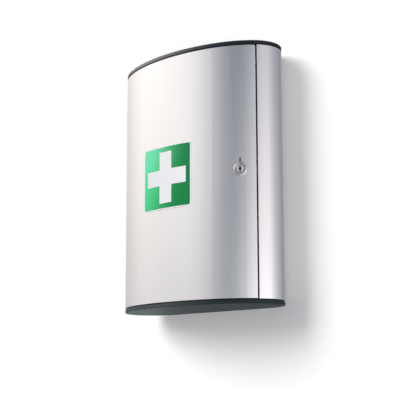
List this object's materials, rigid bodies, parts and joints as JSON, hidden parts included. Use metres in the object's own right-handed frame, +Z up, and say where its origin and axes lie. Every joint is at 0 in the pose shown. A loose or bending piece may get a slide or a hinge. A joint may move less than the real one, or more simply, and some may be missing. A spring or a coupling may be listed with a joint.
{
  "type": "first aid cabinet",
  "caption": "Oval wall-hung first aid cabinet with a curved aluminium door on concealed pivots, a cam lock, dark end caps, a green cross sign and shelves inside.",
  "frame": {"origin": "middle of the back plane at half height, the centre of the four wall screw holes", "axes": "+X to the right along the wall as seen from the front, +Y into the wall, +Z up"},
  "size_m": [0.302, 0.1208, 0.4],
  "materials": {
    "anodised_aluminium": "satin anodised",
    "anthracite_plastic": "fine matt grain",
    "rail_plastic": "moulded matt",
    "shelf_plastic": "moulded satin",
    "bush_plastic": "natural nylon",
    "sign_green": "printed gloss",
    "lock_chrome": "polished nickel",
    "zinc_steel": "bright zinc",
    "black_zinc": "black zinc"
  },
  "bodies": {
    "cabinet": {"back_panel": "anodised_aluminium", "left_side_profile": "anodised_aluminium", "right_side_profile": "anodised_aluminium", "top_cap": "anthracite_plastic", "bottom_cap": "anthracite_plastic", "top_cap_screws": "black_zinc", "bottom_cap_screws": "black_zinc", "back_rivets": "anodised_aluminium", "upper_shelf": "shelf_plastic", "lower_shelf": "shelf_plastic", "upper_hinge_pin": "zinc_steel", "lower_hinge_pin": "zinc_steel", "lock_strike": "black_zinc", "strike_rivets": "anodised_aluminium"},
    "door": {"door_panel": "anodised_aluminium", "door_top_rail": "rail_plastic", "door_bottom_rail": "rail_plastic", "upper_pivot_bush": "bush_plastic", "lower_pivot_bush": "bush_plastic", "sign_plate": "sign_green", "lock_housing": "lock_chrome", "lock_washer": "zinc_steel", "lock_nut": "zinc_steel"},
    "lock_core": {"lock_plug": "lock_chrome", "lock_cam": "zinc_steel", "cam_washer": "zinc_steel", "cam_screw": "zinc_steel"}
  },
  "joints": [
    {"name": "door_hinge", "type": "hinge", "parent": "cabinet", "child": "door", "pos_m": [-0.12171, -0.08033, 0], "axis": [0, 0, -1], "range_deg": [0, 110]},
    {"name": "lock_turn", "type": "hinge", "parent": "door", "child": "lock_core", "pos_m": [0.11583, -0.09272, 0], "axis": [0.5182, -0.8552, 0], "range_deg": [0, 90]}
  ]
}
